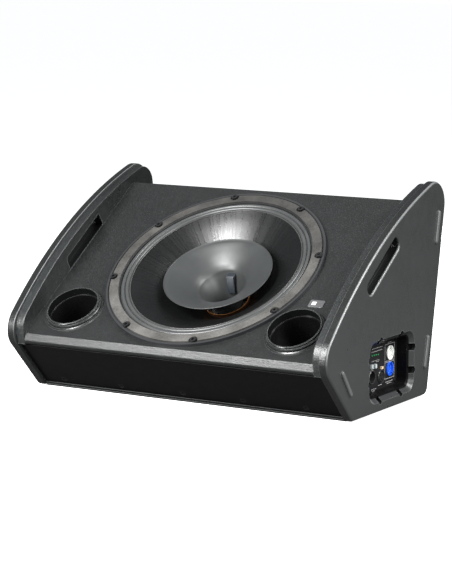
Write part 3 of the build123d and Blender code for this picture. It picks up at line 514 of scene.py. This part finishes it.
def rounded_bar(c, size, r=0.6, n=4):
    """Closed block of half sizes size/2 about c whose four long edges (along the last axis) are rounded."""
    cx, cy, cz = c
    hx, hy, hz = (v / 2 for v in size)
    r = min(r, hx * 0.98, hy * 0.98)
    loop = []
    for (sx, sy, a0) in ((1, 1, 0), (-1, 1, 90), (-1, -1, 180), (1, -1, 270)):
        for k in range(n + 1):
            t = math.radians(a0 + 90 * k / n)
            loop.append((cx + sx * (hx - r) + r * math.cos(t), cy + sy * (hy - r) + r * math.sin(t)))
    m = len(loop)
    e = min(0.35 * r, hz * 0.4)
    rows = []
    for (z, ins) in ((cz - hz, e), (cz - hz + e, 0), (cz + hz - e, 0), (cz + hz, e)):
        rows.append([(cx + (x - cx) * (1 - ins / max(hx, 1e-6)), cy + (y - cy) * (1 - ins / max(hy, 1e-6)), z) for x, y in loop])
    verts = [p for row in rows for p in row]
    faces = []
    for i in range(3):
        for k in range(m):
            l = (k + 1) % m
            faces.append((i * m + k, i * m + l, (i + 1) * m + l, (i + 1) * m + k))
    faces.append(tuple(range(m))[::-1])
    faces.append(tuple(3 * m + k for k in range(m)))
    return verts, faces


# vane that stands in the throat against its upper wall
v, f = rounded_bar((-1.5, 24.0, -57.0), (15.5, 13.0, 28.0), 1.6)
v = [(x, y + (z + 71.0) * 0.42, z) for x, y, z in v]
piece("throat_vane", v, f, M["vane"], ROOT, DRV_M, sharp=34)

# moving parts: cone, its surround with two rolls, the glue bead and the spider
line = smooth_line([(151.6, 1.3), (136.0, -6.4), (120.0, -15.6), (102.0, -27.4), (85.0, -39.8), (68.0, -53.2), (54.0, -65.0), (44.0, -72.6), (39.5, -75.0)], 3.0)
under = smooth_line([(39.5, -76.6), (44.0, -74.4), (54.4, -66.8), (85.3, -41.6), (120.3, -17.3), (151.6, -0.3)], 8.0)
cone = turned("cone_body", line + under, M["cone"], MOVE, 288)
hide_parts("cone")

roll = []
for (c, w, hh) in ((164.3, 3.7, 4.9), (157.1, 3.6, 4.9)):
    for t in np.linspace(0.12, math.pi - 0.12, 14):
        roll.append((c + w * math.cos(t), 0.9 + (hh - 0.9) * math.sin(t)))
top_line = [(169.2, 1.3), (168.5, 1.35)] + roll + [(153.0, 1.8), (151.95, 1.9)]
low_line = [(151.95, 0.7), (153.4, 0.5), (155.2, 1.9), (157.1, 3.3), (159.0, 1.9), (160.6, 0.2), (162.4, 1.9), (164.3, 3.3), (166.2, 1.9), (167.9, 0.2), (169.2, 0.2)]
sur = turned("surround_rolls", top_line + low_line, M["surround"], None, 288)
ridge = [(-81.2 + 1.1 * math.cos(math.pi * q / 3.0)) for q in range(37)]
rad = [39.4 + (109.8 - 39.4) * q / 36 for q in range(37)]
spd = turned("spider_waves", [(r, z + 0.35) for r, z in zip(rad, ridge)] + [(r, z - 0.35) for r, z in zip(rad[::-1], ridge[::-1])], M["spider"], None, 144)


def radial_blend(o, r_in, r_out, node):
    """The piece follows the cone at its inner edge and the cabinet at its outer edge."""
    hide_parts(node)
    a, b = DRV, DRV + EX * 0.1
    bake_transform(o, ROOT, MOVE, start=tuple(a), end=tuple(b))
    at = o.data.attributes["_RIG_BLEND"]
    inv = DRV_M.inverted()
    for i, vt in enumerate(o.data.vertices):
        p = inv @ vt.co
        r = math.hypot(p.x, p.y) * 1000
        t = min(1.0, max(0.0, (r_out - r) / (r_out - r_in)))
        at.data[i].value = t * t * (3 - 2 * t)


radial_blend(sur, 152.2, 168.6, "surround")
radial_blend(spd, 40.5, 108.5, "spider")
bead = [(151.7 + 0.95 * math.cos(t), 2.0 + 0.75 * math.sin(t)) for t in np.linspace(0, 2 * math.pi, 13)[:-1]]
turned("former_lip", [(39.15 + 0.55 * math.cos(t), -68.9 + 0.40 * math.sin(t)) for t in np.linspace(0, 2 * math.pi, 9)[:-1]], M["amber"], MOVE, 160)
turned("glue_bead", bead, M["glue"], MOVE, 240)


def on_panel(y, z, dy, dz, x0=281.0, h=0.16):
    """A flat printed bar on the connector panel: centre y, z and size."""
    v, f = rounded_bar((y, z, x0 + h / 2 - 0.02), (dy, dz, h), min(dy, dz) * 0.35, 3)
    return [(c, a, b) for a, b, c in v], f


def merged(name, parts, mat, body, sharp=None, matrix=None):
    """Several separate closed shapes as one piece."""
    V, F = [], []
    for v, f in parts:
        o = len(V)
        V += v
        F += [tuple(i + o for i in q) for q in f]
    return piece(name, V, F, mat, body, matrix, smooth=False)


CAB_M = Matrix.Translation((0, DY, DZ))
bars = []


for (z, y0, y1, seg, gap) in ((97.6, 118.0, 158.0, 2.6, 1.0), (92.8, 117.0, 158.0, 1.8, 1.0), (77.0, 118.0, 149.0, 2.2, 2.6), (74.6, 134.0, 146.0, 1.6, 1.2),
                             (101.0, 177.0, 192.0, 2.4, 0.9), (34.4, 170.0, 196.0, 2.4, 0.9), (31.4, 174.0, 192.0, 1.7, 0.8), (29.6, 117.0, 136.0, 2.3, 0.9),
                             (33.2, 142.0, 156.0, 2.0, 0.9), (62.2, 112.0, 124.0, 1.8, 1.2), (26.8, 120.0, 132.0, 1.8, 0.9)):
    y = y0
    while y + seg < y1:
        bars.append(on_panel(y + seg / 2, z, seg, 0.95))
        y += seg + gap
merged("panel_marks", bars, M["print"], ROOT, matrix=CAB_M)


def panel_frame(name, y0, y1, z0, z1, w=0.9, h=0.16):
    """One thin printed outline, closed in itself."""
    out_l = [(y0, z0), (y1, z0), (y1, z1), (y0, z1)]
    in_l = [(y0 + w, z0 + w), (y1 - w, z0 + w), (y1 - w, z1 - w), (y0 + w, z1 - w)]
    x0, x1 = 280.98, 281.0 + h
    V = [(x0, y, z) for y, z in out_l] + [(x0, y, z) for y, z in in_l] + [(x1, y, z) for y, z in out_l] + [(x1, y, z) for y, z in in_l]
    F = []
    for k in range(4):
        l = (k + 1) % 4
        F += [(k, l, 4 + l, 4 + k), (8 + k, 12 + k, 12 + l, 8 + l), (k, 8 + k, 8 + l, l), (4 + k, 4 + l, 12 + l, 12 + k)]
    return piece(name, V, F, M["print"], ROOT, CAB_M, smooth=False)


X_M = CAB_M @ Matrix(((0, 0, 1, 0), (1, 0, 0, 0), (0, 1, 0, 0), (0, 0, 0, 1)))


def insert(name, c, mat, key, blade="xlr"):
    """Core of a locking power connector: a stepped disc with a ring groove, and three contact blades in it."""
    at = X_M @ Matrix.Translation((c[0] / 1000, c[1] / 1000, 0))
    prof = [(0.001, 279.2), (4.1, 279.2), (4.5, 278.9), (4.6, 277.4), (5.6, 277.4), (5.7, 279.4), (6.0, 279.8), (8.4, 279.8), (8.7, 279.5),
            (8.8, 272.0), (8.8, 270.0), (0.001, 270.0)]
    turned(name, prof, mat, ROOT, 64, matrix=at, sharp=30)
    parts = []
    for a in (key, key + 125, key + 235):
        t = math.radians(a)
        v, f = rounded_bar((0, 0, 279.8), (3.2, 1.1, 0.9), 0.4, 3)
        parts.append(([(7.2 * math.cos(t) + x * -math.sin(t) - y * math.cos(t), 7.2 * math.sin(t) + x * math.cos(t) - y * math.sin(t), z) for x, y, z in v], f))
    merged(name + "_blades", parts, M[blade], ROOT, matrix=at)


insert("outlet_core", (184.4, 82.7), M["grey"], 60)
insert("inlet_core", (184.3, 55.5), M["blue"], 20, "pale_blue")
for nm, c in (("input", (152.0, 47.0)), ("link", (118.0, 51.0))):
    turned("xlr_bezel_" + nm, [(10.0, 281.2), (10.3, 282.6), (11.1, 282.9), (11.6, 282.4), (11.6, 281.2)], M["bezel"], ROOT, 64,
           matrix=X_M @ Matrix.Translation((c[0] / 1000, c[1] / 1000, 0)), sharp=40)
v, f = rounded_bar((0, 0, 0), (8.0, 8.0, 0.4), 0.9)
badge_lo, badge_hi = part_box("badge_plate")
badge_c = BAF_M.inverted() @ ((Vector(badge_lo) + Vector(badge_hi)) / 2)
piece("badge_bar", [(x, y, z) for x, y, z in v], f, M["print"], ROOT, BAF_M @ Matrix.Translation((badge_c.x - 0.0045, badge_c.y, badge_c.z + 0.0008)), smooth=False)
panel_frame("outlet_outline", 165.6, 201.0, 69.4, 98.6, w=0.6)
panel_frame("inlet_outline", 165.6, 201.0, 39.6, 68.0, w=0.6)

# ---------------------------------------------------------------------------
# camera
# ---------------------------------------------------------------------------
cam = bpy.data.objects.new("camera", bpy.data.cameras.new("camera"))
bpy.context.scene.collection.objects.link(cam)
right = Vector((0.86011436, 0.51007291, 0.00537629))
down = Vector((0.08034896, -0.12506594, -0.98888956))
fwd = Vector((-0.50373339, 0.85099009, -0.14855484))
rot = Matrix((right, -down, -fwd)).transposed()
cam.matrix_world = Matrix.Translation((1.92131962, -3.12701671 + DY, 0.73736331 + DZ)) @ rot.to_4x4()
cam.data.sensor_width = 36.0
cam.data.lens = 2232.5197 * 36.0 / 584.0
cam.data.clip_start, cam.data.clip_end = 0.05, 100.0
bpy.context.scene.camera = cam

# ---------------------------------------------------------------------------
# floor, world and lights
# ---------------------------------------------------------------------------
me = bpy.data.meshes.new("floor")
me.from_pydata([(-30, -30, 0), (30, -30, 0), (30, 30, 0), (-30, 30, 0)], [], [(0, 1, 2, 3)])
floor = bpy.data.objects.new("floor", me)
bpy.context.scene.collection.objects.link(floor)
k = Mat("floor_pale")
k.setv("Base Color", (0.92, 0.92, 0.92, 1))
k.setv("Roughness", 0.9)
k.setv("Specular IOR Level", 0.1)
em = k.n("ShaderNodeEmission")
em.inputs["Color"].default_value = (1, 1, 1, 1)
em.inputs["Strength"].default_value = 0.85
lp = k.n("ShaderNodeLightPath")
dark = k.n("ShaderNodeBsdfDiffuse")
dark.inputs["Color"].default_value = (0.10, 0.10, 0.10, 1)
addn = k.n("ShaderNodeAddShader")
mix = k.n("ShaderNodeMixShader")
k.link(k.b.outputs[0], addn.inputs[0])
k.link(em.outputs[0], addn.inputs[1])
k.link(lp.outputs["Is Camera Ray"], mix.inputs[0])
k.link(dark.outputs[0], mix.inputs[1])
k.link(addn.outputs[0], mix.inputs[2])
k.link(mix.outputs[0], k.out.inputs[0])
me.materials.append(k.m)

world = bpy.data.worlds.new("studio")
bpy.context.scene.world = world
world.use_nodes = True
wt = world.node_tree
wt.nodes.clear()
wo = wt.nodes.new("ShaderNodeOutputWorld")
bg1, bg2 = wt.nodes.new("ShaderNodeBackground"), wt.nodes.new("ShaderNodeBackground")
bg1.inputs[0].default_value = (0.9, 0.95, 1.0, 1)
bg1.inputs[1].default_value = 0.16
bg2.inputs[0].default_value = (1, 1, 1, 1)
bg2.inputs[1].default_value = 1.0
wl, wm = wt.nodes.new("ShaderNodeLightPath"), wt.nodes.new("ShaderNodeMixShader")
wt.links.new(wl.outputs["Is Camera Ray"], wm.inputs[0])
wt.links.new(bg1.outputs[0], wm.inputs[1])
wt.links.new(bg2.outputs[0], wm.inputs[2])
wt.links.new(wm.outputs[0], wo.inputs[0])


def area(name, direction, dist, size, power, target=(0, 0, 0.18), size_y=None, color=(1, 1, 1)):
    d = Vector(direction).normalized()
    li = bpy.data.lights.new(name, "AREA")
    li.energy = power
    li.color = color
    li.shape = "RECTANGLE" if size_y else "SQUARE"
    li.size = size
    if size_y:
        li.size_y = size_y
    o = bpy.data.objects.new(name, li)
    o.location = Vector(target) + d * dist
    o.rotation_mode = "QUATERNION"
    o.rotation_quaternion = d.to_track_quat("Z", "Y")
    bpy.context.scene.collection.objects.link(o)
    return o


def area_at(name, loc, aim, size, size_y, power, color=(1, 1, 1)):
    d = Vector(loc) - Vector(aim)
    return area(name, d, d.length, size, power, target=aim, size_y=size_y, color=color)


area_at("key_left", (-0.92, -1.88, 0.70), (-0.08, -0.15, 0.12), 0.60, 0.50, 38)
area_at("key_front", (-0.36, -1.66, 1.36), (0.0, 0.05, 0.24), 0.85, 0.66, 88)
area_at("top", (-0.75, 0.35, 2.1), (0.0, 0.0, 0.2), 1.2, 1.2, 1.5)
area_at("right_high", (1.55, 0.15, 1.55), (0.2, 0.0, 0.2), 0.8, 1.2, 50)
area_at("rear_fill", (-0.9, 2.3, 0.30), (0.0, 0.1, 0.18), 1.4, 0.5, 8)
area_at("right_low", (1.95, -0.95, 0.85), (0.2, 0.0, 0.2), 0.45, 1.0, 30)
bpy.context.scene.view_settings.view_transform = "Standard"
